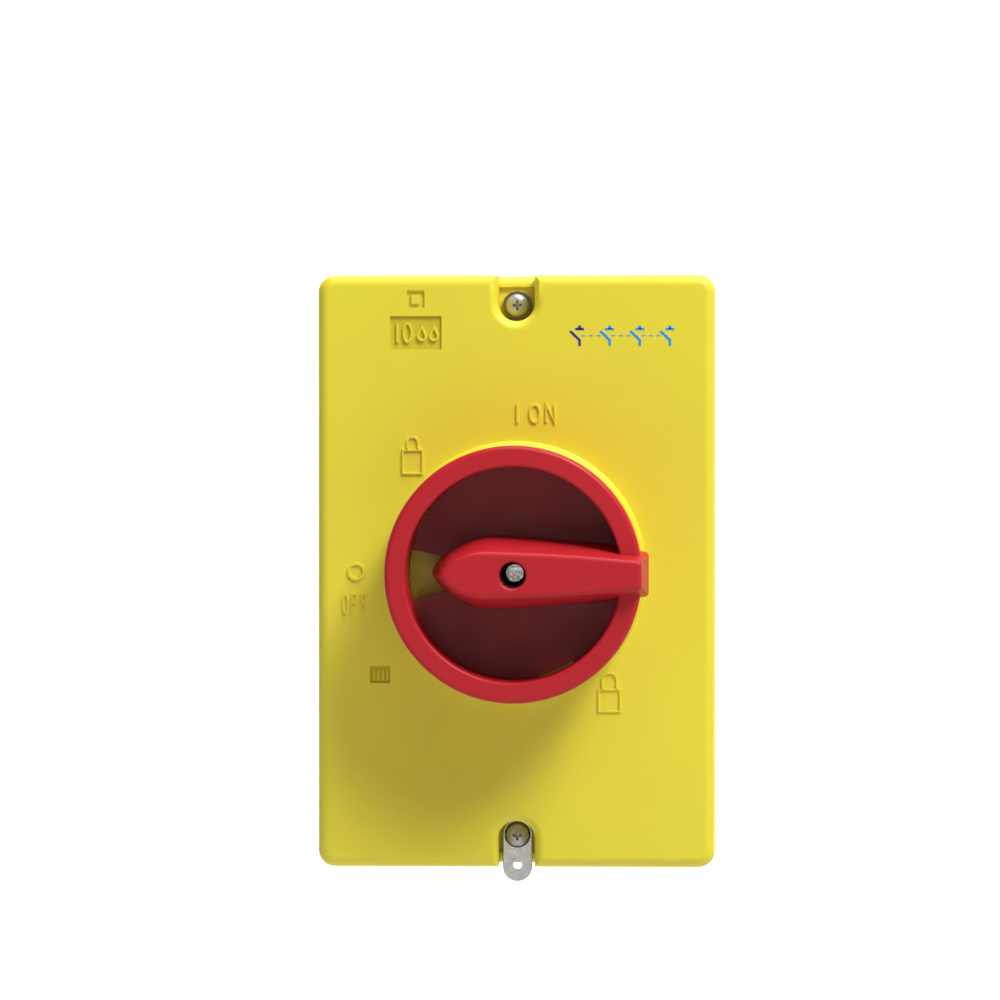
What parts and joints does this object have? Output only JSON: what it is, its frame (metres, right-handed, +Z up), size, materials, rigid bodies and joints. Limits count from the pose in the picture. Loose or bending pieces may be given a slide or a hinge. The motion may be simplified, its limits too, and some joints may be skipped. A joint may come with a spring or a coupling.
{
  "type": "rotary isolator switch",
  "caption": "Enclosed rotary isolator switch: yellow cover with a red padlockable handle on a wall-mounted housing, knife-contact switch on a DIN rail inside.",
  "frame": {"origin": "centre of the housing's flat rear face, where it meets the wall, on the handle's axis", "axes": "+Y into the wall, so the front faces -Y; +Z up; +X to the right as seen from the front"},
  "size_m": [0.1006, 0.103, 0.1545],
  "materials": {
    "yellow_plastic": "moulded, fine satin texture",
    "red_plastic": "moulded, satin",
    "housing_plastic": "moulded, fine texture",
    "switch_plastic": "moulded, smooth satin",
    "rotor_plastic": "moulded, smooth satin",
    "seal_rubber": "matt black",
    "zinc_steel": "bright zinc plate",
    "brass": "machined",
    "copper": "stamped copper strip"
  },
  "bodies": {
    "housing": {"contact_deck_front": "switch_plastic", "contact_deck_rear": "switch_plastic", "cover_gasket": "seal_rubber", "detent_plunger_left": "zinc_steel", "detent_plunger_right": "zinc_steel", "detent_spring_left": "zinc_steel", "detent_spring_right": "zinc_steel", "din_rail": "zinc_steel", "earth_bar": "brass", "earth_screw_left": "zinc_steel", "earth_screw_right": "zinc_steel", "fixed_contact_front_bottom_left": "copper", "fixed_contact_front_bottom_right": "copper", "fixed_contact_front_top_left": "copper", "fixed_contact_front_top_right": "copper", "fixed_contact_rear_bottom_left": "copper", "fixed_contact_rear_bottom_right": "copper", "fixed_contact_rear_top_left": "copper", "fixed_contact_rear_top_right": "copper", "mechanism_housing": "switch_plastic", "rail_screw_left": "zinc_steel", "rail_screw_right": "zinc_steel", "rear_housing": "housing_plastic", "switch_base": "switch_plastic", "terminal_screw_front_bottom_left": "zinc_steel", "terminal_screw_front_bottom_right": "zinc_steel", "terminal_screw_front_top_left": "zinc_steel", "terminal_screw_front_top_right": "zinc_steel", "terminal_screw_rear_bottom_left": "zinc_steel", "terminal_screw_rear_bottom_right": "zinc_steel", "terminal_screw_rear_top_left": "zinc_steel", "terminal_screw_rear_top_right": "zinc_steel", "tie_screw_left": "zinc_steel", "tie_screw_right": "zinc_steel"},
    "din_latch": {"din_latch": "rotor_plastic"},
    "rotor": {"detent_cam": "rotor_plastic", "moving_contact_front_left": "copper", "moving_contact_front_right": "copper", "moving_contact_rear_left": "copper", "moving_contact_rear_right": "copper", "rotor_front": "rotor_plastic", "rotor_rear": "rotor_plastic", "switch_shaft": "zinc_steel"},
    "cover": {"cover": "yellow_plastic", "cover_screw_bottom": "zinc_steel", "cover_screw_top": "zinc_steel", "cover_screw_washer": "zinc_steel", "handle_seal": "seal_rubber", "seal_tab": "zinc_steel"},
    "handle": {"handle": "red_plastic", "handle_retaining_ring": "zinc_steel"}
  },
  "joints": [
    {"name": "cover_lift", "type": "slide", "parent": "housing", "child": "cover", "axis": [0, -1, 0], "range_m": [0, 0.08]},
    {"name": "handle_turn", "type": "hinge", "parent": "cover", "child": "handle", "pos_m": [0, -0.09, 0], "axis": [0, 1, 0], "range_deg": [0, 90]},
    {"name": "rotor_turn", "type": "hinge", "parent": "housing", "child": "rotor", "pos_m": [0, -0.04, 0], "axis": [0, 1, 0], "range_deg": [0, 90]},
    {"name": "din_latch_slide", "type": "slide", "parent": "housing", "child": "din_latch", "axis": [0, 0, -1], "range_m": [0, 0.004], "stiffness_N_per_m": 400, "springref_m": -0.002}
  ],
  "couplings": [
    {"joint": "rotor_turn", "follows": "handle_turn", "ratio": 1}
  ]
}
